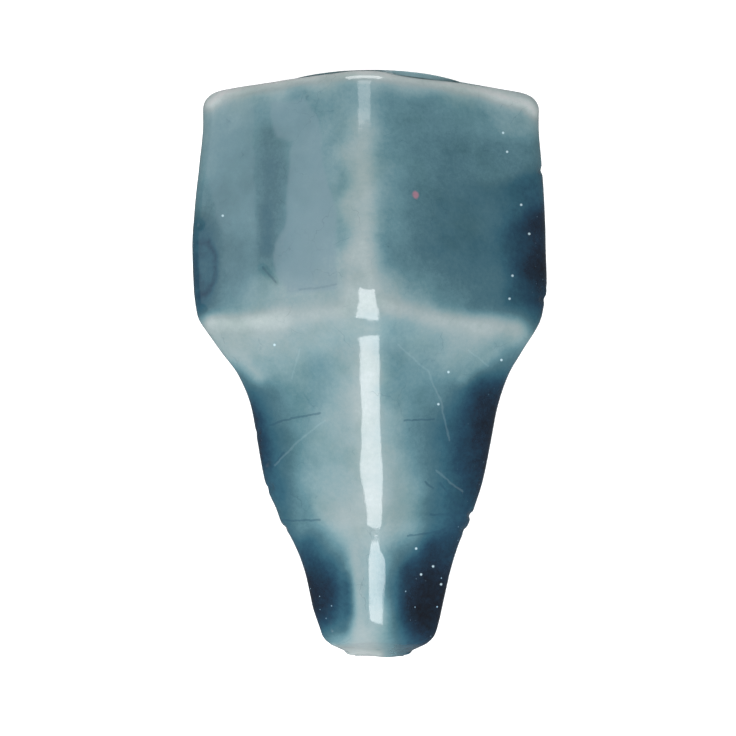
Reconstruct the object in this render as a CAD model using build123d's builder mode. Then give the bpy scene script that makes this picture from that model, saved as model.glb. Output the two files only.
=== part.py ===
"""Finger-worn guitar slide in glazed ceramic.

A fired clay core, closed at the narrow end, carries a round finger bore that opens at the wide end.
A coat of fused blue glaze wraps the whole outside and stops short of the bore, which stays bare clay.

Frame, in millimetres: the slide lies on its flat back. +Z points up out of the flat back to the long
ridge, +Y runs along the bore towards its mouth, +X is to the right seen from above with the mouth at
the top. The origin is under the middle of the slide, on the plane it rests on.
"""
import math
import os

from build123d import *

# ---------------------------------------------------------------- driving dimensions
MOUTH_Y = 27.2            # end face at the mouth, outside of the glaze
TIP_Y = -27.2             # end face at the tip, outside of the glaze

BORE_R = 9.25             # finger bore, 18.5 mm across
BORE_Z = 12.9             # height of the bore's axis over the flat back
BORE_X = 0.3              # the bore is centred between the side arrises
BORE_STRAIGHT_END_Y = 5.0 # the straight wall stops here and a round end follows
LIP_R = 0.9               # eased edge at the bore's mouth
DRY_RING_R = 11.0         # the glaze stops at this radius around the bore

GLAZE_THIN = 0.38         # glaze over ridges and arrises, where it breaks pale
GLAZE_BACK = 0.40         # glaze under the flat back
GLAZE_MOUTH = 0.40        # glaze over the end face
GLAZE_TIP = 0.95          # glaze over the tip's end face

RIDGE_SOFT = 5.5          # rounding of the long ridge
ARRIS_SOFT = 1.7          # rounding of the two side arrises
MOUTH_ARRIS_SOFT = 2.8    # the same at the mouth
END_SOFT = 1.7            # rounding of the mouth's outer edge
TIP_SOFT = 1.4            # rounding of the tip's outer edge
CORE_END_SOFT = 0.9       # the same on the clay under the glaze
N_SECTIONS = 18           # evenly spaced sections of each loft

# Stations along the slide, wide end first:
# y, left arris x, right arris x, arris height, ridge x, ridge height, facet bulge, extra glaze in the facets
STATIONS = [
    (27.20, -17.30, 17.80, 16.6, -0.5, 26.0, 0.35, 0.30),
    (24.00, -17.30, 17.70, 16.4, -0.5, 26.3, 0.40, 0.32),
    (20.00, -17.60, 17.90, 16.0, -0.5, 26.8, 0.45, 0.36),
    (15.50, -17.90, 18.05, 15.6, -0.5, 27.3, 0.45, 0.40),
    (11.00, -18.10, 18.10, 15.5, -0.4, 27.6, 0.40, 0.42),
    (7.20, -17.95, 18.20, 15.5, -0.3, 27.9, 0.30, 0.42),
    (4.60, -17.55, 17.70, 15.5, -0.2, 28.1, 0.25, 0.36),
    (2.60, -16.45, 16.80, 15.4, -0.1, 27.8, 0.20, 0.30),
    (0.80, -15.20, 15.70, 15.1, 0.0, 26.8, 0.10, 0.34),
    (-1.60, -13.40, 14.25, 14.5, 0.1, 25.3, 0.00, 0.42),
    (-4.60, -12.15, 13.20, 13.7, 0.2, 23.4, -0.10, 0.48),
    (-8.20, -11.50, 12.50, 12.6, 0.3, 21.1, -0.15, 0.50),
    (-12.00, -10.75, 11.70, 11.4, 0.4, 18.6, -0.20, 0.48),
    (-15.00, -9.30, 10.60, 10.3, 0.5, 16.8, -0.20, 0.40),
    (-17.60, -7.90, 9.40, 9.3, 0.6, 15.1, -0.30, 0.44),
    (-20.40, -6.90, 8.60, 8.2, 0.7, 13.1, -0.45, 0.50),
    (-23.20, -6.25, 7.95, 7.1, 0.8, 10.9, -0.40, 0.46),
    (-25.60, -5.35, 7.25, 6.0, 0.9, 8.8, -0.25, 0.36),
    (-27.20, -4.80, 6.60, 5.2, 0.9, 7.2, -0.10, 0.28),
]
TIP_LEFT, TIP_RIGHT = -4.9, 6.7   # the tip's end face from above, before it is rounded
TIP_FLARE = 0.525         # its sides spread by this much for each millimetre towards the mouth
TIP_HEIGHT = 7.3          # the tip's end face from the side, before it is rounded
TIP_CLIMB = 1.05          # its top climbs by this much for each millimetre towards the mouth
BACK_SHARE = 0.56         # the flat back's half width, as a share of the arris half width
BELOW = 1.0               # sections run this far under the resting plane, then are cut flat


def along(start, towards, distance):
    """The point at a distance from start on the way towards another point."""
    k = distance / math.dist(start, towards)
    return (start[0] + (towards[0] - start[0]) * k, start[1] + (towards[1] - start[1]) * k)


def facet_handle(start, end, bulge):
    """Where the handle of a facet's curve sits, so that its middle is bowed outwards by bulge."""
    length = math.dist(start, end)
    nx, nz = -(end[1] - start[1]) / length, (end[0] - start[0]) / length
    return ((start[0] + end[0]) / 2 + nx * bulge * 2, (start[1] + end[1]) / 2 + nz * bulge * 2)


def soft_reach(before, corner, after, soft):
    """How far along both sides of a corner a rounding of radius soft begins."""
    to_a = math.atan2(before[1] - corner[1], before[0] - corner[0])
    to_b = math.atan2(after[1] - corner[1], after[0] - corner[0])
    half = abs(to_a - to_b) / 2
    half = min(half, math.pi - half)
    longest = 0.45 * min(math.dist(before, corner), math.dist(after, corner))
    return min(soft / math.tan(half), longest)


def section_curves(station, inset):
    """Curves over one cross section, in (x, z), from the back's left edge over the ridge to its right
    edge; each is given by its two ends, or by its two ends with a handle between them.
    inset 0 is the glaze's outside; inset 1 is the clay under it."""
    y, xl, xr, za, xk, zr, bulge, pool = station
    thin = GLAZE_THIN * inset
    mid = (xl + xr) / 2
    xl, xr, zr = xl + thin * 1.3, xr - thin * 1.3, zr - thin * 1.2
    za = za - thin * 0.3
    bulge = bulge - pool * inset / 2
    # the undersides run on below the resting plane, in line
    k = (za + BELOW) / za
    under_left = (xl + (mid + (xl - mid) * BACK_SHARE - xl) * k, -BELOW)
    under_right = (xr + (mid + (xr - mid) * BACK_SHARE - xr) * k, -BELOW)
    left, ridge, right = (xl, za), (xk, zr), (xr, za)
    left_facet = facet_handle(left, ridge, bulge)
    right_facet = facet_handle(ridge, right, bulge)

    widening = max(0.0, min(1.0, (y - 12) / 12))
    arris_soft = ARRIS_SOFT + (MOUTH_ARRIS_SOFT - ARRIS_SOFT) * widening**2 * (3 - 2 * widening)
    reach_left = soft_reach(under_left, left, left_facet, arris_soft)
    reach_ridge = soft_reach(left_facet, ridge, right_facet, RIDGE_SOFT)
    reach_right = soft_reach(right_facet, right, under_right, arris_soft)
    a, b = along(left, under_left, reach_left), along(left, left_facet, reach_left)
    c, d = along(ridge, left_facet, reach_ridge), along(ridge, right_facet, reach_ridge)
    e, f = along(right, right_facet, reach_right), along(right, under_right, reach_right)
    return [
        (under_left, a),
        (a, left, b),
        (b, left_facet, c),
        (c, ridge, d),
        (d, right_facet, e),
        (e, right, f),
        (f, under_right),
        (under_right, under_left),
    ]


def section_plane(y):
    """Local x is +X and local y is +Z."""
    return Plane(origin=(0, y, 0), x_dir=(1, 0, 0), z_dir=(0, -1, 0))


def smooth_table(y):
    """The table's values at y, by a monotone cubic through its stations, as a station."""
    rows = sorted(STATIONS)
    ys = [r[0] for r in rows]
    y = min(max(y, ys[0]), ys[-1])
    i = min(max(sum(1 for v in ys if v <= y) - 1, 0), len(ys) - 2)
    made = [y]
    for column in range(1, len(rows[0])):
        v = [r[column] for r in rows]
        slopes = [(v[k + 1] - v[k]) / (ys[k + 1] - ys[k]) for k in range(len(ys) - 1)]

        def tangent(k):
            if k == 0:
                return slopes[0]
            if k == len(ys) - 1:
                return slopes[-1]
            if slopes[k - 1] * slopes[k] <= 0:
                return 0.0
            h0, h1 = ys[k] - ys[k - 1], ys[k + 1] - ys[k]
            w0, w1 = 2 * h1 + h0, h1 + 2 * h0
            return (w0 + w1) / (w0 / slopes[k - 1] + w1 / slopes[k])

        h = ys[i + 1] - ys[i]
        t = (y - ys[i]) / h
        made.append(
            v[i] * (1 + 2 * t) * (1 - t) ** 2
            + tangent(i) * h * t * (1 - t) ** 2
            + v[i + 1] * t * t * (3 - 2 * t)
            + tangent(i + 1) * h * t * t * (t - 1)
        )
    return made


def station_ys(mouth_y, tip_y):
    """Evenly spaced places to section, from the mouth to the tip."""
    return [mouth_y + (tip_y - mouth_y) * k / (N_SECTIONS - 1) for k in range(N_SECTIONS)]


def draw_curves(curves):
    """The section's curves, drawn in the line that is being built."""
    for curve in curves:
        if len(curve) == 2:
            Line(*curve)
        else:
            Bezier(*curve)


def tip_from_above(y, inset):
    """A large outline in (x, y) whose narrow end is the tip's end face at y."""
    left = TIP_LEFT - TIP_FLARE * (y - TIP_Y) + inset
    right = TIP_RIGHT + TIP_FLARE * (y - TIP_Y) - inset
    far = 60
    return [(left, y), (right, y), (right + TIP_FLARE * far, y + far), (left - TIP_FLARE * far, y + far)]


def tip_from_the_side(y, inset):
    """A large outline in (y, z) whose narrow end is the tip's end face at y."""
    top = TIP_HEIGHT + TIP_CLIMB * (y - TIP_Y) - inset
    far = 60
    return [(y, top), (y + far, top + TIP_CLIMB * far), (y + far, -5), (y, -5)]


CORE_MOUTH_Y = MOUTH_Y - GLAZE_MOUTH
CORE_TIP_Y = TIP_Y + GLAZE_TIP

# ---------------------------------------------------------------- outside of the glaze
with BuildPart() as envelope:
    for y in station_ys(MOUTH_Y, TIP_Y):
        with BuildSketch(section_plane(y)):
            with BuildLine():
                draw_curves(section_curves(smooth_table(y), 0))
            make_face()
    loft()
    split(bisect_by=Plane.XY, keep=Keep.TOP)
    # the mouth's outer edge, all but its line on the flat back
    mouth_rim = envelope.faces().sort_by(Axis.Y)[-1].edges()
    fillet(mouth_rim.filter_by(lambda e: e.bounding_box().max.Z > 0.5), END_SOFT)
    # the tip is rounded as seen from above, then as seen from the side
    with BuildSketch(Plane.XY):
        with BuildLine():
            FilletPolyline(*tip_from_above(TIP_Y, 0), radius=TIP_SOFT, close=True)
        make_face()
    extrude(amount=40, mode=Mode.INTERSECT)
    with BuildSketch(Plane.YZ):
        with BuildLine():
            FilletPolyline(*tip_from_the_side(TIP_Y, 0), radius=TIP_SOFT, close=True)
        make_face()
    extrude(amount=40, both=True, mode=Mode.INTERSECT)

# ---------------------------------------------------------------- clay core, before the bore
with BuildPart() as core:
    for y in station_ys(CORE_MOUTH_Y, CORE_TIP_Y):
        with BuildSketch(section_plane(y)):
            with BuildLine():
                draw_curves(section_curves(smooth_table(y), 1))
            make_face()
    loft()
    split(bisect_by=Plane.XY.offset(GLAZE_BACK), keep=Keep.TOP)
    core_rim = core.faces().sort_by(Axis.Y)[-1].edges()
    fillet(core_rim.filter_by(lambda e: e.bounding_box().max.Z > 0.9), CORE_END_SOFT)
    with BuildSketch(Plane.XY):
        with BuildLine():
            FilletPolyline(*tip_from_above(CORE_TIP_Y, 0.45), radius=TIP_SOFT - 0.4, close=True)
        make_face()
    extrude(amount=40, mode=Mode.INTERSECT)
    with BuildSketch(Plane.YZ):
        with BuildLine():
            FilletPolyline(*tip_from_the_side(CORE_TIP_Y, 0.55), radius=TIP_SOFT - 0.4, close=True)
        make_face()
    extrude(amount=40, both=True, mode=Mode.INTERSECT)

# ---------------------------------------------------------------- ceramic_body
with BuildPart() as ceramic_body:
    add(core.part)
    # straight finger bore with a round closed end, turned about its own axis, with an eased mouth
    with BuildSketch(Plane(origin=(BORE_X, 0, BORE_Z), x_dir=(1, 0, 0), z_dir=(0, 0, 1))):
        with BuildLine():
            Polyline(
                (0, BORE_STRAIGHT_END_Y - BORE_R),
                (0, CORE_MOUTH_Y + 1),
                (BORE_R + LIP_R, CORE_MOUTH_Y + 1),
                (BORE_R + LIP_R, CORE_MOUTH_Y),
            )
            RadiusArc(
                (BORE_R + LIP_R, CORE_MOUTH_Y), (BORE_R, CORE_MOUTH_Y - LIP_R), -LIP_R
            )
            Line((BORE_R, CORE_MOUTH_Y - LIP_R), (BORE_R, BORE_STRAIGHT_END_Y))
            RadiusArc(
                (BORE_R, BORE_STRAIGHT_END_Y), (0, BORE_STRAIGHT_END_Y - BORE_R), BORE_R
            )
        make_face()
    revolve(
        axis=Axis((BORE_X, 0, BORE_Z), (0, 1, 0)),
        revolution_arc=360,
        mode=Mode.SUBTRACT,
    )
ceramic_body.part.label = "ceramic_body"

# ---------------------------------------------------------------- glaze_coat
with BuildPart() as glaze_coat:
    add(envelope.part)
    add(core.part, mode=Mode.SUBTRACT)
    # the dry ring around the bore
    with BuildSketch(section_plane(MOUTH_Y + 1)):
        with Locations((BORE_X, BORE_Z)):
            Circle(DRY_RING_R)
    extrude(amount=3, mode=Mode.SUBTRACT)
glaze_coat.part.label = "glaze_coat"

os.makedirs("parts", exist_ok=True)
for made in (ceramic_body, glaze_coat):
    export_step(made.part, f"parts/{made.part.label}.step")
    print(
        made.part.label,
        "valid", made.part.is_valid,
        "solids", len(made.part.solids()),
        "volume", round(made.part.volume, 1),
        made.part.bounding_box(),
    )
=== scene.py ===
import math

import bpy
import numpy as np
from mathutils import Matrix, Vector, noise


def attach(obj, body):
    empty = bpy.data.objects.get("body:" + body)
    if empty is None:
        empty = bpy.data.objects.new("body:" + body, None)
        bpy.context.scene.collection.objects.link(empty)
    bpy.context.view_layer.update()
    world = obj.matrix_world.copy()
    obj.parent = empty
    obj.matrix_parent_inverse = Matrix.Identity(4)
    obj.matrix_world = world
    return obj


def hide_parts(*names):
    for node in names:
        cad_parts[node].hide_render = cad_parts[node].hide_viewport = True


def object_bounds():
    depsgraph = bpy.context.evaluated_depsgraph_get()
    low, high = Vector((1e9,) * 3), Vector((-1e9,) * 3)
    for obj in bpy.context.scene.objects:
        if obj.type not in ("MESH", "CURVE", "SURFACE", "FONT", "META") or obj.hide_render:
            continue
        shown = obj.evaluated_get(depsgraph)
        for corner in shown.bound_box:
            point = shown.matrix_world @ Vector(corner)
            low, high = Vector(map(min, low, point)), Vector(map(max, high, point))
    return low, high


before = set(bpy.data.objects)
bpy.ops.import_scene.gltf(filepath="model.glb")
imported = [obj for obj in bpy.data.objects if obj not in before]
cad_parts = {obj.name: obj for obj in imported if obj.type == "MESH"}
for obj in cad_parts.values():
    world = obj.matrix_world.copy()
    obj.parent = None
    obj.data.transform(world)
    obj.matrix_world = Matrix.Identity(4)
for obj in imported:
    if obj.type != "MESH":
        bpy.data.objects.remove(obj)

cad_lo, cad_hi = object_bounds()
LO = np.array(cad_lo) * 1000
HI = np.array(cad_hi) * 1000
scene = bpy.context.scene

# ------------------------------------------------------------------ the slide's form, in millimetres
MOUTH_Y, TIP_Y = 27.2, -27.15     # the tip's small drip reaches the CAD model's end
BORE_X, BORE_Z = 0.3, 12.9
DRY_RING_R = 11.0
GLAZE_THIN, GLAZE_MOUTH, GLAZE_TIP, GLAZE_BACK = 0.38, 0.40, 0.95, 0.40
RIDGE_SOFT, ARRIS_SOFT, MOUTH_ARRIS_SOFT, BACK_SOFT = 5.5, 1.7, 2.8, 0.9
END_SOFT, TIP_SOFT = 1.7, 1.2
BACK_SHARE = 0.56
# y, left arris x, right arris x, arris height, ridge x, ridge height, facet bulge, extra glaze in the facets
STATIONS = [
    (27.20, -17.30, 17.80, 16.6, -0.5, 26.0, 0.35, 0.30),
    (24.00, -17.30, 17.70, 16.4, -0.5, 26.3, 0.40, 0.32),
    (20.00, -17.60, 17.90, 16.0, -0.5, 26.8, 0.45, 0.36),
    (15.50, -17.90, 18.05, 15.6, -0.5, 27.3, 0.45, 0.40),
    (11.00, -18.10, 18.10, 15.5, -0.4, 27.6, 0.40, 0.42),
    (7.20, -17.95, 18.20, 15.5, -0.3, 27.9, 0.30, 0.42),
    (4.60, -17.55, 17.70, 15.5, -0.2, 28.1, 0.25, 0.36),
    (2.60, -16.45, 16.80, 15.4, -0.1, 27.8, 0.20, 0.30),
    (0.80, -15.20, 15.70, 15.1, 0.0, 26.8, 0.10, 0.34),
    (-1.60, -13.40, 14.25, 14.5, 0.1, 25.3, 0.00, 0.42),
    (-4.60, -12.15, 13.20, 13.7, 0.2, 23.4, -0.10, 0.48),
    (-8.20, -11.50, 12.50, 12.6, 0.3, 21.1, -0.15, 0.50),
    (-12.00, -10.75, 11.70, 11.4, 0.4, 18.6, -0.20, 0.48),
    (-15.00, -9.30, 10.60, 10.3, 0.5, 16.8, -0.20, 0.40),
    (-17.60, -7.90, 9.40, 9.3, 0.6, 15.1, -0.30, 0.44),
    (-20.40, -6.90, 8.60, 8.2, 0.7, 13.1, -0.45, 0.50),
    (-23.20, -6.25, 7.95, 7.1, 0.8, 10.9, -0.40, 0.46),
    (-25.60, -5.35, 7.25, 6.0, 0.9, 8.8, -0.25, 0.36),
    (-27.20, -4.80, 6.60, 5.2, 0.9, 7.2, -0.10, 0.28),
]
TABLE = np.array(sorted(STATIONS))


def station(y):
    """The table's row at y, by a monotone cubic."""
    ys = TABLE[:, 0]
    y = min(max(y, ys[0]), ys[-1])
    i = int(min(max(np.searchsorted(ys, y, side="right") - 1, 0), len(ys) - 2))
    row = [y]
    for c in range(1, TABLE.shape[1]):
        v = TABLE[:, c]
        d = np.diff(v) / np.diff(ys)

        def tangent(k):
            if k == 0:
                return d[0]
            if k == len(ys) - 1:
                return d[-1]
            if d[k - 1] * d[k] <= 0:
                return 0.0
            h0, h1 = ys[k] - ys[k - 1], ys[k + 1] - ys[k]
            w0, w1 = 2 * h1 + h0, h1 + 2 * h0
            return (w0 + w1) / (w0 / d[k - 1] + w1 / d[k])

        h = ys[i + 1] - ys[i]
        t = (y - ys[i]) / h
        row.append(
            v[i] * (1 + 2 * t) * (1 - t) ** 2
            + tangent(i) * h * t * (1 - t) ** 2
            + v[i + 1] * t * t * (3 - 2 * t)
            + tangent(i + 1) * h * t * t * (t - 1)
        )
    return row


def along(a, b, d):
    return a + (b - a) * (d / np.linalg.norm(b - a))


def reach(before, corner, after, soft):
    u, w = before - corner, after - corner
    half = math.acos(max(-1, min(1, u @ w / np.linalg.norm(u) / np.linalg.norm(w)))) / 2
    return min(soft / math.tan(half), 0.45 * min(np.linalg.norm(u), np.linalg.norm(w)))


def handle(a, b, bulge):
    d = (b - a) / np.linalg.norm(b - a)
    return (a + b) / 2 + np.array([-d[1], d[0]]) * bulge * 2


# columns of the skin, round each section from the middle of the flat back, clockwise seen from the tip
COLUMNS = [("back_l", 10), ("corner_bl", 8), ("side_l", 26), ("arris_l", 16), ("facet_l", 70), ("ridge", 36),
           ("facet_r", 70), ("arris_r", 16), ("side_r", 26), ("corner_br", 8), ("back_r", 10)]
COLUMN_KIND = [name for name, n in COLUMNS for _ in range(n)]
N = len(COLUMN_KIND)


def section(y, inset=0.0):
    """One closed section as N points (x, z)."""
    _, xl, xr, za, xk, zr, bulge, pool = station(y)
    thin = GLAZE_THIN * inset
    mid = (xl + xr) / 2
    xl, xr, zr = xl + thin * 1.3, xr - thin * 1.3, zr - thin * 1.2
    za = za - thin * 0.3
    bulge = bulge - pool * inset / 2
    z0 = GLAZE_BACK * inset
    left, ridge, right = np.array([xl, za]), np.array([xk, zr]), np.array([xr, za])

    def foot(x):
        inner = mid + (x - mid) * BACK_SHARE
        return np.array([inner + (x - inner) * (z0 / za), z0])

    fl, fr = foot(xl), foot(xr)
    ml, mr = handle(left, ridge, bulge), handle(ridge, right, bulge)
    w = max(0.0, min(1.0, (y - 12) / 12))
    soft = ARRIS_SOFT + (MOUTH_ARRIS_SOFT - ARRIS_SOFT) * w * w * (3 - 2 * w)
    a1, a2, a3 = reach(fl, left, ml, soft), reach(ml, ridge, mr, RIDGE_SOFT), reach(mr, right, fr, soft)
    c1 = reach(fr, fl, left, BACK_SOFT)
    back_mid = (fl + fr) / 2
    curves = [
        (back_mid, along(fl, fr, c1)),
        (along(fl, fr, c1), fl, along(fl, left, c1)),
        (along(fl, left, c1), along(left, fl, a1)),
        (along(left, fl, a1), left, along(left, ml, a1)),
        (along(left, ml, a1), ml, along(ridge, ml, a2)),
        (along(ridge, ml, a2), ridge, along(ridge, mr, a2)),
        (along(ridge, mr, a2), mr, along(right, mr, a3)),
        (along(right, mr, a3), right, along(right, fr, a3)),
        (along(right, fr, a3), along(fr, right, c1)),
        (along(fr, right, c1), fr, along(fr, fl, c1)),
        (along(fr, fl, c1), back_mid),
    ]
    made = []
    for (name, n), c in zip(COLUMNS, curves):
        t = (np.arange(n) / n)[:, None]
        if len(c) == 2:
            made.append(c[0] * (1 - t) + c[1] * t)
        else:
            made.append(c[0] * (1 - t) ** 2 + c[1] * 2 * t * (1 - t) + c[2] * t * t)
    return np.concatenate(made)


def heart(y):
    """A point well inside the section."""
    _, xl, xr, za, xk, zr, _, _ = station(y)
    return np.array([(xl + xr + xk) / 3, zr * 0.47])


BACKNESS = np.array([1.0 if k.startswith("back") else 0.55 if k.startswith("corner") else 0.0 for k in COLUMN_KIND])


def drawn(y, inset, draw):
    """The section, every point moved towards its heart by draw; less so on the flat back."""
    p = section(y, inset)
    to = heart(y) - p
    return p + to / np.linalg.norm(to, axis=1)[:, None] * (draw * (1 - 0.85 * BACKNESS))[:, None]


def loop(y, points):
    return np.column_stack([points[:, 0], np.full(len(points), y), points[:, 1]])


def smooth(e0, e1, x):
    t = np.clip((x - e0) / (e1 - e0), 0, 1)
    return t * t * (3 - 2 * t)


loops = []          # each N points (x, y, z)
kinds = []          # outer, mouth, ring, inner
# the tip's end face, from its middle outwards
tip_edge = drawn(TIP_Y, 0, TIP_SOFT)
for s in (0.12, 0.3, 0.5, 0.7, 0.87):
    c = heart(TIP_Y)
    loops.append(loop(TIP_Y - 0.1 * (1 - s * s), c + (tip_edge - c) * s))
    kinds.append("outer")
# rounding of the tip
for a in np.linspace(90, 0, 13):
    a = math.radians(a)
    y = TIP_Y + TIP_SOFT * (1 - math.sin(a))
    loops.append(loop(y, drawn(y, 0, TIP_SOFT * (1 - math.cos(a)))))
    kinds.append("outer")
for y in np.linspace(TIP_Y + TIP_SOFT, MOUTH_Y - END_SOFT, 208)[1:-1]:
    loops.append(loop(y, drawn(y, 0, 0)))
    kinds.append("outer")
for a in np.linspace(0, 90, 11):
    a = math.radians(a)
    y = MOUTH_Y - END_SOFT * (1 - math.sin(a))
    loops.append(loop(y, drawn(y, 0, END_SOFT * (1 - math.cos(a)))))
    kinds.append("outer")
# the mouth's end face, to the glaze's edge round the bore
edge = drawn(MOUTH_Y, 0, END_SOFT)
bore = np.array([BORE_X, BORE_Z])
ring_dir = (edge - bore) / np.linalg.norm(edge - bore, axis=1)[:, None]
ring = bore + ring_dir * DRY_RING_R
for s in (0.2, 0.45, 0.7, 0.88):
    loops.append(loop(MOUTH_Y, edge * (1 - s) + (bore + ring_dir * (DRY_RING_R + 0.18)) * s))
    kinds.append("mouth")
for a in (0, 30, 60, 90):
    a = math.radians(a)
    loops.append(loop(MOUTH_Y - 0.18 * (1 - math.cos(a)), bore + ring_dir * (DRY_RING_R + 0.18 - 0.18 * math.sin(a))))
    kinds.append("ring")
CORE_MOUTH, CORE_TIP = MOUTH_Y - GLAZE_MOUTH, -27.2 + GLAZE_TIP
loops.append(loop(CORE_MOUTH, ring))
kinds.append("ring")
inner_edge = drawn(CORE_MOUTH, 1, 1.0)
for s in (0.35, 0.7, 1.0):
    loops.append(loop(CORE_MOUTH, ring * (1 - s) + inner_edge * s))
    kinds.append("inner")
for a in (60, 30, 0):
    a = math.radians(a)
    y = CORE_MOUTH - 1.0 * (1 - math.sin(a))
    loops.append(loop(y, drawn(y, 1, 1.0 * (1 - math.cos(a)))))
    kinds.append("inner")
for y in np.linspace(CORE_MOUTH - 1.0, CORE_TIP + 1.0, 24)[1:]:
    loops.append(loop(y, drawn(y, 1, 0.0)))
    kinds.append("inner")
for a in (30, 60, 90):
    a = math.radians(a)
    y = CORE_TIP + 1.0 * (1 - math.sin(a))
    loops.append(loop(y, drawn(y, 1, 1.0 * (1 - math.cos(a)))))
    kinds.append("inner")
c = heart(CORE_TIP)
last = loops[-1][:, [0, 2]]
for s in (0.6, 0.25):
    loops.append(loop(CORE_TIP, c + (last - c) * s))
    kinds.append("inner")

P = np.array(loops)                       # rows, N, 3
kinds = np.array(kinds)
ROWS = len(P)
OUT = int(np.where(kinds == "outer")[0][-1]) + 1      # rows of the outer skin

# ------------------------------------------------------------------ front view coordinates
# tenths of a millimetre as the slide is seen from 75 degrees above its tip; x to the right, y downwards
TILT = math.radians(15)


def front_xy(points):
    x = 369 + 10 * points[..., 0]
    y = 396 - 10 * (points[..., 1] * math.cos(TILT) + points[..., 2] * math.sin(TILT))
    return x, y


def to_line(x, y, pts):
    """Distance to a line of points, and how far along it from 0 to 1."""
    best = np.full(x.shape, 1e9)
    where = np.zeros(x.shape)
    total = sum(math.dist(a, b) for a, b in zip(pts, pts[1:]))
    run = 0.0
    for (ax, ay), (bx, by) in zip(pts, pts[1:]):
        ex, ey = bx - ax, by - ay
        ll = ex * ex + ey * ey
        t = np.clip(((x - ax) * ex + (y - ay) * ey) / ll, 0, 1)
        d = np.hypot(x - ax - t * ex, y - ay - t * ey)
        near = d < best
        best = np.where(near, d, best)
        where = np.where(near, (run + t * math.sqrt(ll)) / total, where)
        run += math.sqrt(ll)
    return best, where


def inside(x, y, pts):
    """Signed distance to a closed outline, positive inside."""
    d, _ = to_line(x, y, pts + [pts[0]])
    odd = np.zeros(x.shape, bool)
    for (ax, ay), (bx, by) in zip(pts, pts[1:] + [pts[0]]):
        if ay == by:
            continue
        cross = (ay > y) != (by > y)
        odd ^= cross & (x < (bx - ax) * (y - ay) / (by - ay) + ax)
    return np.where(odd, d, -d)


def wander(points, scale, seed, octaves=3):
    """Smooth noise, about -1 to 1, at each point; scale is its size in millimetres."""
    flat = points.reshape(-1, 3) / scale + seed
    made = np.array([noise.fractal(Vector(p), 1.0, 2.0, octaves) for p in flat])
    return made.reshape(points.shape[:-1])


# ------------------------------------------------------------------ the glaze's surface
Q = P[:OUT].copy()


def grid_normals(g):
    """Outward normals of the outer skin's grid."""
    du = np.roll(g, -1, 1) - np.roll(g, 1, 1)
    dv = np.empty_like(g)
    dv[1:-1] = g[2:] - g[:-2]
    dv[0] = g[1] - g[0]
    dv[-1] = g[-1] - g[-2]
    n = np.cross(du, dv)
    n /= np.maximum(np.linalg.norm(n, axis=2, keepdims=True), 1e-12)
    mid = np.column_stack([np.full(len(g), 0.2), g[:, 0, 1], g[:, :, 2].mean(1)])[:, None, :]
    return n if ((g - mid) * n).sum() > 0 else -n


NORMAL = grid_normals(Q)
VIEW = np.array([0, -math.sin(TILT), math.cos(TILT)])
FX, FY = front_xy(Q)
facing = (NORMAL * VIEW).sum(2)
front = smooth(0.02, 0.22, facing)
col_front = np.array([0.0 if k in ("back_l", "back_r", "corner_bl", "corner_br", "side_l", "side_r") else 1.0 for k in COLUMN_KIND])

rise = np.zeros(FX.shape)
# the hand's slight waves, and finer ones in the glaze
rise += 0.050 * wander(Q, 8.0, 11.0, 2) + 0.012 * wander(Q, 2.6, 40.0, 2)
# raised folds where the glaze breaks pale, and the hollows beside them
FOLDS = [
    ([(205, 322), (260, 320), (310, 315), (440, 319), (500, 326), (540, 324)], 13, 0.11),
    ([(346, 287), (372, 287)], 11, 0.09),
    ([(348, 314), (385, 314)], 12, 0.12),
    ([(335, 343), (368, 342), (400, 344)], 12, -0.22),
    # the ridge widens again before the cross break
    ([(366, 470), (370, 498), (371, 520)], 15, -0.12),
    ([(285, 520), (330, 522), (370, 521), (410, 520), (460, 516)], 11, 0.20),
    ([(345, 545), (368, 544), (395, 546)], 11, -0.12),
    # the flat run of the tip's ridge, with its sharper right shoulder
    ([(376, 562), (379, 585), (381, 604)], 12, -0.22),
    ([(346, 600), (350, 630)], 12, 0.10),
    ([(366, 352), (368, 430), (369, 480)], 11, -0.05),
    ([(394, 560), (400, 600), (406, 638)], 9, 0.20),
    # the ridge turns down to the mouth
    ([(340, 84), (366, 80), (396, 84)], 16, -0.10),
    ([(300, 560), (316, 592)], 14, -0.08),
    ([(440, 560), (430, 592)], 14, -0.08),
]
for pts, width, high in FOLDS:
    d, _ = to_line(FX, FY, pts)
    rise += high * np.exp(-(d / width) ** 2) * col_front
# chips and nicks along the side arrises, and one pit with a drag mark
NICKS = [
    (541, 170, 3.2, -0.20), (543, 288, 3.0, -0.22), (543, 299, 3.4, -0.26), (267, 462, 3.0, -0.30),
    (270, 487, 3.2, -0.36), (470, 515, 3.0, -0.34), (463, 530, 2.6, -0.2), (258, 432, 2.6, -0.16),
    (199, 225, 3.0, -0.14), (203, 310, 4.0, -0.10), (286, 527, 2.4, -0.16), (446, 575, 2.6, -0.14),
    (329, 643, 2.6, -0.03),
]
for cx, cy, r, high in NICKS:
    d = np.hypot(FX - cx, FY - cy)
    rise += high * np.exp(-(d / r) ** 2) * (NORMAL[:, :, 2] > -0.6)
d, s = to_line(FX, FY, [(263, 268), (268, 274), (276, 282)])
rise += -0.20 * np.exp(-(d / 2.6) ** 2) * col_front
d = np.hypot(FX - 277, FY - 280)
rise += 0.05 * np.exp(-(d / 3.0) ** 2) * col_front
# the flat back moves only a tenth as much as the rest
still = 1 - 0.9 * np.array([1.0 if k.startswith("back") else 0.0 for k in COLUMN_KIND])[None, :]
rise *= still
rise = np.clip(rise, -0.30, 0.26)
Q = Q + NORMAL * rise[:, :, None]
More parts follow.
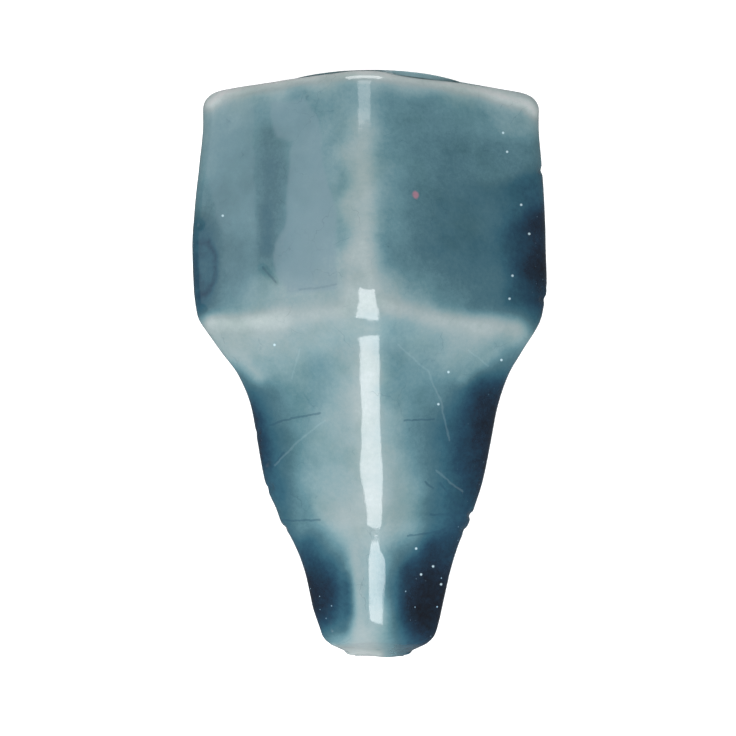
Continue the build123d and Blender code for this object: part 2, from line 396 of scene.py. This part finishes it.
# the drip at the very end of the tip
Q[:, :, 1] += np.minimum(0.05 * (np.sqrt((Q[:, :, 0] - 1.7) ** 2 + 0.25) - 0.5), 0.09) * smooth(-25.2, -26.8, Q[:, :, 1])
d = np.hypot(Q[:, :, 0] - 1.8, (Q[:, :, 2] - 0.5) * 0.8)
Q[:, :, 1] -= 0.10 * np.exp(-(d / 0.8) ** 2) * smooth(-25.6, -26.6, Q[:, :, 1])
Q[:, :, 2] = np.maximum(Q[:, :, 2], 0.0)
# the mouth's edge runs a little askew
Q[:, :, 1] -= np.minimum(0.055 * np.maximum(Q[:, :, 0] - 1.0, 0), 0.20) * smooth(19, 27, Q[:, :, 1]) * smooth(11, 17, Q[:, :, 2])
P[:OUT] = Q
P[:, :, 0] = np.clip(P[:, :, 0], LO[0], HI[0])
P[:, :, 1] = np.clip(P[:, :, 1], LO[1], HI[1])
P[:, :, 2] = np.clip(P[:, :, 2], LO[2], HI[2])

# ------------------------------------------------------------------ how deep the glaze lies: 0 thin and pale, 1 pooled and dark
SPOTS = [
    # wide part, left facet
    (212, 118, .40), (235, 100, .36), (215, 160, .48), (212, 200, .56), (206, 235, .78), (203, 265, .84), (206, 300, .78),
    (228, 230, .54), (226, 265, .60), (232, 298, .52), (250, 150, .50), (250, 220, .52), (262, 110, .52), (268, 160, .60),
    (270, 210, .60), (270, 250, .58), (300, 100, .50), (305, 150, .50), (305, 210, .50), (300, 260, .48), (255, 300, .42),
    (290, 298, .36), (325, 120, .50), (334, 120, .44), (328, 180, .48), (330, 235, .44), (330, 280, .34),
    # its ridge
    (350, 100, .48), (362, 120, .40), (362, 160, .32), (363, 210, .28), (364, 260, .24), (364, 290, .20), (385, 285, .34),
    # wide part, right facet
    (388, 110, .54), (390, 160, .52), (390, 210, .52), (392, 250, .54), (415, 115, .58), (420, 160, .60), (420, 210, .63),
    (420, 255, .64), (418, 285, .48), (450, 110, .58), (455, 160, .63), (455, 210, .66), (455, 255, .68), (450, 288, .60),
    (488, 115, .54), (490, 160, .60), (490, 210, .68), (490, 255, .71), (488, 292, .66), (515, 118, .46), (512, 160, .60),
    (514, 205, .74), (515, 250, .82), (514, 290, .80), (532, 120, .44), (534, 150, .60), (534, 190, .80), (537, 225, .94),
    (536, 265, .98), (536, 300, .93), (525, 318, .70),
    # top edge
    (225, 92, .30), (270, 83, .28), (320, 76, .30), (365, 74, .38), (410, 78, .36), (460, 87, .34), (505, 98, .30), (533, 108, .30),
    # under the cross fold
    (215, 336, .34), (240, 350, .30), (262, 345, .30), (262, 372, .42), (290, 345, .34), (292, 372, .42), (318, 340, .34),
    (322, 368, .52), (345, 345, .34), (345, 372, .36), (366, 332, .30), (368, 372, .22), (392, 335, .46), (398, 362, .52),
    (398, 395, .50), (428, 345, .42), (428, 375, .48), (425, 402, .56), (458, 345, .34), (458, 368, .40), (445, 392, .56),
    (488, 342, .30), (490, 360, .46), (515, 338, .40), (512, 352, .66),
    # narrow part, left
    (243, 378, .66), (250, 395, .86), (256, 420, .95), (262, 446, .95), (266, 472, .88), (272, 396, .62), (280, 420, .62),
    (284, 446, .66), (284, 472, .66), (278, 494, .80), (300, 400, .50), (306, 425, .48), (306, 455, .46), (308, 482, .42),
    (296, 505, .60), (282, 512, .78), (288, 526, .80), (306, 524, .58),
    # narrow part, middle
    (325, 395, .46), (330, 425, .36), (330, 455, .38), (330, 485, .36), (325, 510, .30), (350, 400, .30), (350, 440, .30),
    (350, 480, .29), (350, 512, .25), (368, 410, .20), (370, 460, .22), (372, 500, .24), (388, 425, .32), (392, 465, .32),
    (395, 495, .33), (390, 520, .30),
    # narrow part, right
    (412, 430, .58), (415, 460, .55), (415, 490, .44), (412, 515, .44), (435, 425, .70), (438, 455, .72), (438, 482, .74),
    (436, 506, .74), (436, 524, .76), (455, 402, .78), (458, 428, .84), (460, 455, .84), (460, 482, .82), (458, 508, .84),
    (470, 385, .84), (478, 405, .95), (482, 430, .97), (480, 458, .95), (474, 485, .90), (492, 375, .88), (498, 392, .95),
    (500, 360, .70), (462, 524, .84), (452, 540, .88),
    # tip
    (300, 540, .84), (312, 548, .80), (326, 545, .56), (342, 540, .34), (360, 536, .26), (382, 538, .30), (402, 540, .46),
    (306, 562, .92), (322, 565, .92), (337, 562, .78), (354, 560, .34), (372, 560, .32), (390, 558, .52), (404, 556, .80),
    (312, 588, .98), (326, 592, .98), (341, 590, .86), (358, 588, .38), (374, 588, .32), (396, 585, .80), (412, 575, .95),
    (318, 614, .96), (332, 616, .92), (345, 614, .78), (362, 614, .34), (380, 614, .30), (404, 610, .93), (420, 600, 1.),
    (326, 636, .72), (336, 636, .72), (352, 636, .34), (366, 636, .24), (384, 636, .40), (406, 632, .90), (424, 626, 1.),
    (432, 560, .95), (436, 585, .97), (434, 610, .97), (426, 642, .9), (444, 552, .90), (446, 575, .93),
    # rounded end
    (336, 650, .22), (350, 654, .16), (366, 655, .16), (382, 657, .26), (392, 655, .50), (408, 652, .80), (378, 647, .34),
    (398, 645, .78), (418, 648, .90),
]
weight = np.zeros(FX.shape)
depth = np.zeros(FX.shape)
for cx, cy, t in SPOTS:
    w = np.exp(-((FX - cx) ** 2 + (FY - cy) ** 2) / (2 * 11.5**2)) + 1e-12
    weight += w
    depth += w * t
depth /= weight
STROKES = [
    ([(214, 323), (240, 323), (285, 318)], 10.5, .10, .82),
    ([(285, 318), (320, 313), (340, 310)], 9.5, .20, .60),
    ([(385, 306), (402, 310), (440, 319), (480, 326), (514, 329)], 11.0, .20, .80),
    ([(362, 130), (363, 210), (364, 300)], 11.0, .20, .45),
    ([(355, 548), (359, 585), (362, 640)], 7.0, .27, .78),
    ([(346, 575), (348, 605), (344, 628)], 5.5, .78, .55),
    ([(216, 330), (240, 356), (258, 376)], 8.0, .24, .55),
    ([(518, 334), (486, 358), (462, 378)], 8.0, .28, .45),
    ([(365, 345), (367, 380), (368, 440), (370, 520)], 10.0, .22, .40),
    ([(210, 103), (222, 92), (270, 82), (330, 74), (365, 73), (420, 77), (480, 88), (528, 102), (536, 110)], 7.5, .02, .85),
    ([(334, 651), (350, 655), (378, 656)], 5.0, .08, .8),
    # deeper runs between the pale edges
    ([(268, 135), (270, 190), (266, 250)], 9.0, .68, .65),
    ([(226, 130), (232, 200), (236, 270)], 20.0, .58, .45),
    ([(395, 262), (450, 272), (490, 280)], 15.0, .62, .50),
    ([(335, 425), (338, 490)], 20.0, .42, .40),
    ([(392, 400), (392, 450)], 16.0, .42, .40),
    ([(298, 500), (300, 530)], 9.0, .46, .40),
    ([(408, 568), (412, 610)], 7.0, .95, .45),
    # a ring where the glaze gathered at the left arris
    ([(199, 243), (209, 242), (216, 256), (216, 278), (209, 292), (199, 296)], 3.2, .86, .75),
    ([(203, 262), (205, 276)], 5.0, .68, .6),
    ([(234, 250), (238, 276)], 15.0, .64, .45),
    ([(266, 212), (267, 250)], 8.0, .76, .50),
    ([(440, 266), (470, 276)], 14.0, .70, .45),
    ([(346, 585), (348, 612)], 5.5, .84, .50),
    ([(404, 648), (418, 642)], 5.0, .84, .50),
    ([(358, 272), (362, 290)], 9.0, .32, .50),
]
for pts, width, t, strength in STROKES:
    d, _ = to_line(FX, FY, pts)
    m = strength * np.exp(-(d / width) ** 2)
    depth = depth * (1 - m) + t * m

# milky panels in the left facet, with crisp crooked edges: partly milky glaze, partly a painted sheen of the light
# reflected on that facet
wob_x = 3.0 * wander(Q, 2.2, 70.0, 2)
wob_y = 3.0 * wander(Q, 2.2, 90.0, 2)
OPAL_SHEEN_PANELS = [
    [(210, 112), (224, 101), (252, 99), (252, 130), (255, 160), (256, 200), (259, 245), (258, 299), (236, 301), (224, 262),
     (222, 235), (214, 205), (207, 180), (206, 140)],
    [(272, 103), (303, 100), (319, 122), (322, 150), (327, 187), (336, 211), (337, 291), (289, 294), (279, 280), (273, 256),
     (289, 214), (288, 192), (292, 141), (276, 139), (270, 115)],
]
opal_and_sheen = np.zeros(FX.shape)
for pts in OPAL_SHEEN_PANELS:
    opal_and_sheen = np.maximum(opal_and_sheen, smooth(-1.6, 2.0, inside(FX + wob_x, FY + wob_y, pts)))
opal_and_sheen *= 0.62 + 0.38 * smooth(0.5, -0.4, wander(Q, 7.0, 22.0, 2))
opal_and_sheen *= np.where(FX < 263, 0.55 - 0.35 * smooth(190, 250, FY), 1.0)

# the sides, flat back and mouth, which are glazed the same way: thin at the edges, deeper between them
side_depth = 0.62 + 0.22 * wander(Q, 7.0, 5.0, 3)
zc = Q[:, :, 2]
arris_z = np.array([station(y)[3] for y in Q[:, 0, 1]])[:, None]
side_depth += 0.28 * smooth(0.75, 0.15, zc / arris_z) * np.array([1.0 if k.startswith("side") else 0.0 for k in COLUMN_KIND])
side_depth -= 0.42 * np.exp(-(((zc - arris_z) / 1.3) ** 2))
side_depth -= 0.34 * np.exp(-((zc / 0.9) ** 2)) * np.array([0.0 if k.startswith("back") else 1.0 for k in COLUMN_KIND])
side_depth -= 0.30 * smooth(MOUTH_Y - 2.4, MOUTH_Y - 0.4, Q[:, :, 1])
side_depth += 0.40 * smooth(1.6, 3.6, Q[:, :, 0]) * smooth(-25.0, -26.3, Q[:, :, 1])
side_depth = np.clip(side_depth, 0.05, 1.0)
depth = depth * front + side_depth * (1 - front)
opal_and_sheen *= front

# ------------------------------------------------------------------ mesh of the glaze
verts = P.reshape(-1, 3)
tip_centre = P[0].mean(0)
tip_centre[1] = P[0, :, 1].min()
core_centre = P[-1].mean(0)
verts = np.vstack([verts, tip_centre, core_centre]) / 1000
faces = []
for r in range(ROWS - 1):
    a, b = r * N, (r + 1) * N
    for k in range(N):
        m = (k + 1) % N
        faces.append((a + k, a + m, b + m, b + k))
for k in range(N):
    m = (k + 1) % N
    faces.append((ROWS * N, m, k))
    faces.append((ROWS * N + 1, (ROWS - 1) * N + k, (ROWS - 1) * N + m))
mesh = bpy.data.meshes.new("glaze")
mesh.from_pydata(verts.tolist(), [], faces)
mesh.validate()
mesh.update()
volume = 0.0
tri = np.array([(f[0], f[1], f[2]) for f in faces] + [(f[0], f[2], f[3]) for f in faces if len(f) == 4])
v0, v1, v2 = verts[tri[:, 0]], verts[tri[:, 1]], verts[tri[:, 2]]
volume = float((v0 * np.cross(v1, v2)).sum() / 6)
if volume < 0:
    mesh.flip_normals()
for p in mesh.polygons:
    p.use_smooth = True


def store(name, values, fill):
    made = np.full(len(verts), fill, np.float32)
    made[: OUT * N] = values.reshape(-1)
    layer = mesh.attributes.new(name, "FLOAT", "POINT")
    layer.data.foreach_set("value", made)


store("glaze_depth", depth, 0.4)
# the milky panels, partly a painted sheen of reflected light, go to the shader
store("glaze_opal_and_sheen", opal_and_sheen, 0.0)
store("front_side", front, 0.0)
glaze = bpy.data.objects.new("glaze", mesh)
scene.collection.objects.link(glaze)
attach(glaze, "root")
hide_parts("glaze_coat")

# ------------------------------------------------------------------ materials


def srgb(h):
    """Linear colour from a hex one."""
    v = [int(h[i:i + 2], 16) / 255 for i in (0, 2, 4)]
    return [c / 12.92 if c <= 0.04045 else ((c + 0.055) / 1.055) ** 2.4 for c in v] + [1.0]


class Nodes:
    """Short names for making a node tree."""

    def __init__(self, name):
        self.mat = bpy.data.materials.new(name)
        self.mat.use_nodes = True
        self.tree = self.mat.node_tree
        self.tree.nodes.clear()

    def new(self, kind, inputs=(), **props):
        n = self.tree.nodes.new(kind)
        for k, v in props.items():
            setattr(n, k, v)
        for k, v in dict(inputs).items():
            if isinstance(v, bpy.types.NodeSocket):
                self.tree.links.new(v, n.inputs[k])
            else:
                n.inputs[k].default_value = v
        return n

    def math(self, op, *args, clamp=False):
        return self.new("ShaderNodeMath", dict(enumerate(args)), operation=op, use_clamp=clamp).outputs[0]

    def vec(self, op, *args):
        n = self.new("ShaderNodeVectorMath", dict(enumerate(args)), operation=op)
        return n.outputs["Value"] if op in ("DISTANCE", "LENGTH", "DOT_PRODUCT") else n.outputs["Vector"]

    def scaled(self, v, s):
        return self.new("ShaderNodeVectorMath", {0: v, "Scale": s}, operation="SCALE").outputs["Vector"]

    def noise(self, v, scale, detail=3.0, rough=0.5, distortion=0.0):
        return self.new("ShaderNodeTexNoise", {"Vector": v, "Scale": scale, "Detail": detail, "Roughness": rough,
                                               "Distortion": distortion})

    def span(self, v, a, b, c=0.0, d=1.0, kind="SMOOTHSTEP"):
        return self.new("ShaderNodeMapRange", {"Value": v, "From Min": a, "From Max": b, "To Min": c, "To Max": d},
                        interpolation_type=kind, clamp=True).outputs["Result"]

    def mix(self, f, a, b, blend="MIX"):
        n = self.new("ShaderNodeMix", data_type="RGBA", blend_type=blend, clamp_factor=True)
        for k, v in ((0, f), (6, a), (7, b)):
            if isinstance(v, bpy.types.NodeSocket):
                self.tree.links.new(v, n.inputs[k])
            else:
                n.inputs[k].default_value = v
        return n.outputs[2]

    def attribute(self, name):
        return self.new("ShaderNodeAttribute", attribute_name=name).outputs["Fac"]


LIFT = 0.65       # how much the surface colours are scaled for the light on them

# --- the glaze
g = Nodes("blue_glaze")
place = g.scaled(g.new("ShaderNodeTexCoord").outputs["Object"], 1000.0)      # millimetres
wide = g.noise(place, 0.32, 5.0, 0.6)
fine = g.noise(place, 2.4, 4.0, 0.6)
grainy = g.noise(place, 9.0, 2.0, 0.5)
t = g.attribute("glaze_depth")
t = g.math("ADD", t, g.math("MULTIPLY", g.math("SUBTRACT", wide.outputs["Fac"], 0.5), 0.16))
t = g.math("ADD", t, g.math("MULTIPLY", g.math("SUBTRACT", fine.outputs["Fac"], 0.5), 0.11))
t = g.math("ADD", t, g.math("MULTIPLY", g.math("SUBTRACT", grainy.outputs["Fac"], 0.5), 0.05), clamp=True)
ramp = g.new("ShaderNodeValToRGB", {"Fac": t})
STOPS = [(0.0, "c4cacc"), (0.12, "aebfbf"), (0.25, "96a9ab"), (0.40, "7a9aa0"), (0.52, "5d858f"), (0.64, "456b77"),
         (0.75, "2f5b6c"), (0.85, "1d4055"), (0.93, "162a3c"), (1.0, "0e131d")]
while len(ramp.color_ramp.elements) < len(STOPS):
    ramp.color_ramp.elements.new(0.5)
for e, (at, colour) in zip(ramp.color_ramp.elements, STOPS):
    e.position = at
for e, (at, colour) in zip(ramp.color_ramp.elements, STOPS):
    e.color = [c * k for c, k in zip(srgb(colour)[:3], (LIFT * 1.04, LIFT * 0.97, LIFT * 0.96))] + [1.0]
colour = ramp.outputs["Color"]
# greener and greyer clouds, as iron and tin in the glaze make
clouds = g.noise(place, 0.22, 3.0, 0.55)
colour = g.mix(g.span(clouds.outputs["Fac"], 0.42, 0.72, 0.0, 0.35), colour, srgb("7f918b"), "SOFT_LIGHT")
# milky panels: partly milky glaze, partly a painted sheen of reflected light
opal_sheen = g.math("MULTIPLY", g.attribute("glaze_opal_and_sheen"), g.span(fine.outputs["Fac"], 0.2, 0.7, 0.6, 1.0))
colour = g.mix(g.math("MULTIPLY", opal_sheen, 0.72), colour, tuple(c * LIFT for c in srgb("778f99")[:3]) + (1.0,))

# fine crazing all over
warp = g.noise(place, 0.8, 2.0, 0.5)
crazed_at = g.vec("ADD", place, g.scaled(warp.outputs["Color"], 1.6))
cells = g.new("ShaderNodeTexVoronoi", {"Vector": crazed_at, "Scale": 0.19}, feature="DISTANCE_TO_EDGE")
crazing = g.span(cells.outputs["Distance"], 0.0, 0.010, 1.0, 0.0)
crazing = g.math("MULTIPLY", crazing, g.span(wide.outputs["Fac"], 0.45, 0.65))
colour = g.mix(g.math("MULTIPLY", crazing, 0.22), colour, srgb("16303f"))

# single cracks and drag lines, seen from the front
flatten = g.new("ShaderNodeCombineXYZ", {
    "X": g.math("ADD", g.math("MULTIPLY", g.vec("DOT_PRODUCT", place, (1, 0, 0)), 10.0), 369.0),
    "Y": g.math("SUBTRACT", 396.0, g.math("MULTIPLY", g.vec("DOT_PRODUCT", place, (0, math.cos(TILT), math.sin(TILT))), 10.0)),
}).outputs[0]
wiggle = g.noise(place, 0.9, 3.0, 0.6)
flat = g.vec("ADD", flatten, g.scaled(g.vec("MULTIPLY", g.vec("SUBTRACT", wiggle.outputs["Color"], (0.5, 0.5, 0.5)), (1, 1, 0)), 4.0))
on_front = g.attribute("front_side")


def hair(lines, width):
    """Mask of thin lines through the given front view points."""
    total = None
    for pts in lines:
        for (ax, ay), (bx, by) in zip(pts, pts[1:]):
            a, e = (ax, ay, 0), (bx - ax, by - ay, 0)
            rel = g.vec("SUBTRACT", flat, a)
            k = g.math("MULTIPLY", g.vec("DOT_PRODUCT", rel, e), 1 / (e[0] ** 2 + e[1] ** 2), clamp=True)
            step = g.new("ShaderNodeVectorMath", {0: e, "Scale": k}, operation="SCALE").outputs["Vector"]
            d = g.vec("DISTANCE", rel, step)
            total = d if total is None else g.math("MINIMUM", total, d)
    return g.math("MULTIPLY", g.span(total, width * 0.35, width, 1.0, 0.0), on_front)


dark_lines = hair([
    [(270, 425), (292, 418), (320, 413)], [(281, 520), (320, 519)], [(430, 514), (471, 515)], [(408, 535), (456, 529)],
    [(440, 483), (458, 506)], [(425, 481), (433, 488)], [(404, 420), (434, 419)], [(263, 268), (276, 282)], [(270, 470), (284, 452)],
], 1.5)
faint_lines = hair([[(300, 290), (318, 289), (336, 285)]], 1.6)
pale_lines = hair([
    [(275, 465), (300, 440), (325, 420)], [(398, 345), (428, 372), (440, 400), (449, 440)], [(468, 350), (488, 366)],
    [(436, 470), (462, 492)], [(300, 350), (292, 378)],
], 1.4)
colour = g.mix(g.math("MULTIPLY", dark_lines, 0.42), colour, srgb("1c3a4b"))
colour = g.mix(g.math("MULTIPLY", faint_lines, 0.16), colour, srgb("1c3a4b"))
colour = g.mix(g.math("MULTIPLY", pale_lines, 0.07), colour, srgb("9fb6bc"))

# bubbles: many tiny ones where the glaze is deep, a few white pinheads elsewhere
bubble = g.new("ShaderNodeTexVoronoi", {"Vector": place, "Scale": 1.9, "Randomness": 1.0}, feature="F1")
pick = g.new("ShaderNodeSeparateColor", {"Color": bubble.outputs["Color"]})
size = g.math("MULTIPLY_ADD", pick.outputs["Green"], 0.13, 0.05)
dots = g.math("SUBTRACT", size, bubble.outputs["Distance"])
dots = g.span(dots, 0.0, 0.05)
dots = g.math("MULTIPLY", dots, g.span(pick.outputs["Red"], 0.62, 0.68))
dots = g.math("MULTIPLY", dots, g.span(t, 0.80, 0.95))
tip_only = g.span(g.vec("DOT_PRODUCT", place, (0, 1, 0)), -12.0, -16.0, 0.18, 1.0)
dots = g.math("MULTIPLY", dots, tip_only)
colour = g.mix(g.math("MULTIPLY", dots, 0.75), colour, srgb("8fb0c4"))
near = None
for cx, cy in [(223, 216), (275, 345), (507, 152), (529, 234), (509, 299), (503, 133), (521, 205), (501, 360), (448, 372),
               (438, 404), (512, 276), (433, 566), (416, 548), (421, 574), (441, 584)]:
    d = g.vec("DISTANCE", flatten, (cx, cy, 0))
    near = d if near is None else g.math("MINIMUM", near, d)
pins = g.math("MULTIPLY", g.span(near, 0.5, 1.7, 1.0, 0.0), on_front)
colour = g.mix(g.math("MULTIPLY", pins, 0.6), colour, srgb("b9d0d8"))
red = g.math("MULTIPLY", g.span(g.vec("DISTANCE", flat, (415, 196, 0)), 2.0, 5.0, 0.55, 0.0), on_front)
colour = g.mix(red, colour, srgb("9a5f6e"))

bump_height = g.math("MULTIPLY", fine.outputs["Fac"], 0.35)
bump_height = g.math("ADD", bump_height, g.math("MULTIPLY", wide.outputs["Fac"], 1.2))
bump_height = g.math("SUBTRACT", bump_height, g.math("MULTIPLY", dark_lines, 0.5))
bump_height = g.math("ADD", bump_height, g.math("MULTIPLY", pins, 0.5))
bump = g.new("ShaderNodeBump", {"Strength": 0.5, "Distance": 0.00004, "Height": bump_height})
rough = g.math("ADD", g.span(fine.outputs["Fac"], 0.3, 0.8, 0.055, 0.13), g.math("MULTIPLY", opal_sheen, 0.10))
shader = g.new("ShaderNodeBsdfPrincipled", {"Base Color": colour, "Roughness": rough, "IOR": 1.5, "Normal": bump.outputs["Normal"]})
g.new("ShaderNodeOutputMaterial", {"Surface": shader.outputs[0]})
glaze.data.materials.append(g.mat)

# --- the fired clay
c = Nodes("fired_clay")
place = c.scaled(c.new("ShaderNodeTexCoord").outputs["Object"], 1000.0)
body = c.noise(place, 0.5, 6.0, 0.65)
grain = c.noise(place, 5.0, 3.0, 0.6)
specks = c.new("ShaderNodeTexVoronoi", {"Vector": place, "Scale": 1.6}, feature="F1")
chosen = c.new("ShaderNodeSeparateColor", {"Color": specks.outputs["Color"]})
mask = c.math("MULTIPLY", c.span(specks.outputs["Distance"], 0.10, 0.20, 1.0, 0.0), c.span(chosen.outputs["Red"], 0.70, 0.76))
base = c.new("ShaderNodeValToRGB", {"Fac": body.outputs["Fac"]})
base.color_ramp.elements[0].position, base.color_ramp.elements[0].color = 0.3, srgb("a89a86")
base.color_ramp.elements[1].position, base.color_ramp.elements[1].color = 0.7, srgb("cdbfa9")
clay = c.mix(c.span(grain.outputs["Fac"], 0.3, 0.8, 0.0, 0.35), base.outputs["Color"], srgb("8d7b66"))
clay = c.mix(c.math("MULTIPLY", mask, 0.7), clay, srgb("4b3a2c"))
height = c.math("ADD", c.math("MULTIPLY", grain.outputs["Fac"], 1.0), c.math("MULTIPLY", body.outputs["Fac"], 1.5))
rings = c.new("ShaderNodeTexWave", {"Vector": place, "Scale": 0.35, "Distortion": 2.0, "Detail": 2.0}, bands_direction="Y")
height = c.math("ADD", height, c.math("MULTIPLY", rings.outputs["Fac"], 0.8))
bump = c.new("ShaderNodeBump", {"Strength": 0.6, "Distance": 0.00008, "Height": height})
shader = c.new("ShaderNodeBsdfPrincipled", {"Base Color": clay, "Roughness": c.span(grain.outputs["Fac"], 0.3, 0.8, 0.72, 0.92),
                                            "IOR": 1.45, "Normal": bump.outputs["Normal"]})
c.new("ShaderNodeOutputMaterial", {"Surface": shader.outputs[0]})
body_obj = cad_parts["ceramic_body"]
if body_obj.material_slots:
    for s in body_obj.material_slots:
        s.material = c.mat
else:
    body_obj.data.materials.append(c.mat)
for p in body_obj.data.polygons:
    p.use_smooth = True

# ------------------------------------------------------------------ floor and backdrop
floor_mesh = bpy.data.meshes.new("floor")
S = 0.9
floor_mesh.from_pydata([(-S, -S, 0), (S, -S, 0), (S, S, 0), (-S, S, 0)], [], [(0, 1, 2, 3)])
floor = bpy.data.objects.new("floor", floor_mesh)
scene.collection.objects.link(floor)
floor.location.z = -0.00002
f = Nodes("pale_floor")
shader = f.new("ShaderNodeBsdfPrincipled", {"Base Color": (0.86, 0.86, 0.86, 1), "Roughness": 0.9, "Specular IOR Level": 0.1,
                                            "Emission Color": (1, 1, 1, 1), "Emission Strength": 0.45})
f.new("ShaderNodeOutputMaterial", {"Surface": shader.outputs[0]})
floor_mesh.materials.append(f.mat)
floor.visible_glossy = False

# ------------------------------------------------------------------ light


def softbox(name, at, aim, width, height, power, colour=(1, 1, 1)):
    light = bpy.data.lights.new(name, "AREA")
    light.shape = "RECTANGLE"
    light.size, light.size_y = width, height
    light.energy = power
    light.color = colour
    o = bpy.data.objects.new(name, light)
    o.location = at
    o.rotation_mode = "QUATERNION"
    o.rotation_quaternion = (Vector(aim) - Vector(at)).to_track_quat("-Z", "Y")
    scene.collection.objects.link(o)
    o.visible_camera = False
    return o


R = 0.5


def around(x_deg, y_deg, r=R):
    """A place over the slide: x_deg leans right of straight up, y_deg leans towards the tip."""
    v = Vector((math.tan(math.radians(x_deg)), -math.tan(math.radians(y_deg)), 1.0)).normalized()
    return v * r


softbox("key", around(-4, 36), (0, 0, 0), 0.40, 0.57, 5.4, (0.97, 0.985, 1.0))
softbox("left_card", Vector((-0.45, 0.14, 0.17)), (0, 0, 0), 0.30, 0.20, 0.11)
softbox("top_card", Vector((-0.01, 0.285, 0.41)), (0, 0, 0), 0.22, 0.09, 0.20)
softbox("back_fill", Vector((0.0, 0.62, 0.28)), (0, 0, 0), 0.7, 0.25, 3.2)
world = bpy.data.worlds.new("studio")
world.use_nodes = True
scene.world = world
world.node_tree.nodes["Background"].inputs["Color"].default_value = (0.95, 0.98, 1.0, 1)
world.node_tree.nodes["Background"].inputs["Strength"].default_value = 0.22

scene.view_settings.view_transform = "Standard"
scene.view_settings.look = "None"
scene.view_settings.exposure = 0.0
scene.view_settings.gamma = 1.0

# ------------------------------------------------------------------ camera, 75 degrees above the tip
cam = bpy.data.cameras.new("camera")
cam.lens = 600
cam.sensor_width = 36
cam.clip_start, cam.clip_end = 0.01, 10
camera = bpy.data.objects.new("camera", cam)
scene.collection.objects.link(camera)
scene.camera = camera
target = Vector((-0.0001, -0.000317, 0.012))
back = Vector((0, -math.sin(TILT), math.cos(TILT)))
camera.location = target + back * (0.0368 / (18 / 600))
camera.rotation_mode = "QUATERNION"
camera.rotation_quaternion = (-back).to_track_quat("-Z", "Y")
